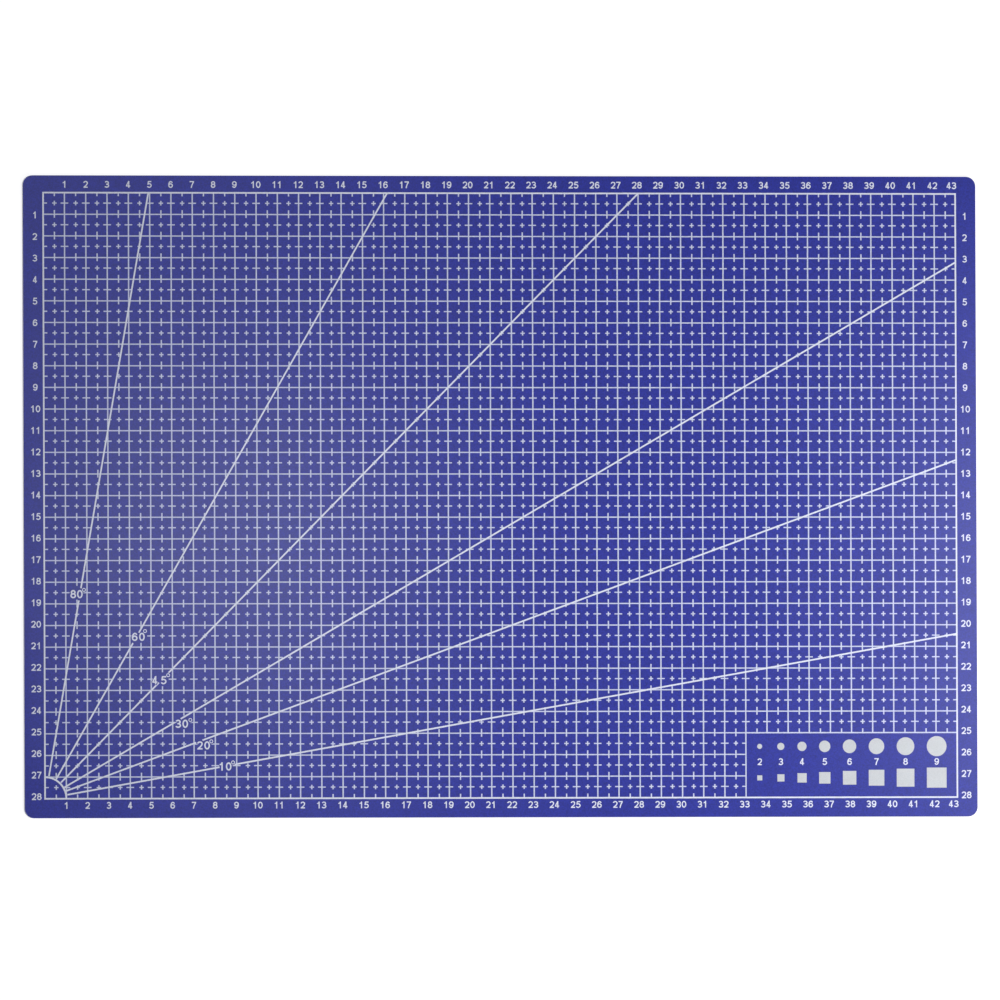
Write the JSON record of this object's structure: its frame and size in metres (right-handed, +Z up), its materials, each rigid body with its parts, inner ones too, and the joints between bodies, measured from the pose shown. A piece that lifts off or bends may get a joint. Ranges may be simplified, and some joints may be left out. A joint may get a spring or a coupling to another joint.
{
  "type": "self healing cutting mat",
  "caption": "Flat laminated cutting mat with rounded corners, a printed centimetre grid, angle lines and a corner gauge of discs and squares.",
  "frame": {"origin": "middle of the underside, on the surface that the mat lies on", "axes": "+X along the long side, +Y along the short side towards the row of numerals above the printed frame, +Z up out of the printed face"},
  "size_m": [0.449, 0.297, 0.003],
  "materials": {
    "soft_sheet": "matte",
    "tie_sheet": "matte",
    "core": "satin",
    "ink": "matte"
  },
  "bodies": {
    "root": {"bottom_sheet": "soft_sheet", "lower_tie_sheet": "tie_sheet", "core_board": "core", "upper_tie_sheet": "tie_sheet", "top_sheet": "soft_sheet", "printed_frame": "ink", "printed_inner_ray_80": "ink", "printed_inner_ray_60": "ink", "printed_inner_ray_45": "ink", "printed_inner_ray_30": "ink", "printed_inner_ray_20": "ink", "printed_inner_ray_10": "ink", "gauge_disc_2mm": "ink", "gauge_square_2mm": "ink", "gauge_disc_3mm": "ink", "gauge_square_3mm": "ink", "gauge_disc_4mm": "ink", "gauge_square_4mm": "ink", "gauge_disc_5mm": "ink", "gauge_square_5mm": "ink", "gauge_disc_6mm": "ink", "gauge_square_6mm": "ink", "gauge_disc_7mm": "ink", "gauge_square_7mm": "ink", "gauge_disc_8mm": "ink", "gauge_square_8mm": "ink", "gauge_disc_9mm": "ink", "gauge_square_9mm": "ink"}
  },
  "joints": []
}
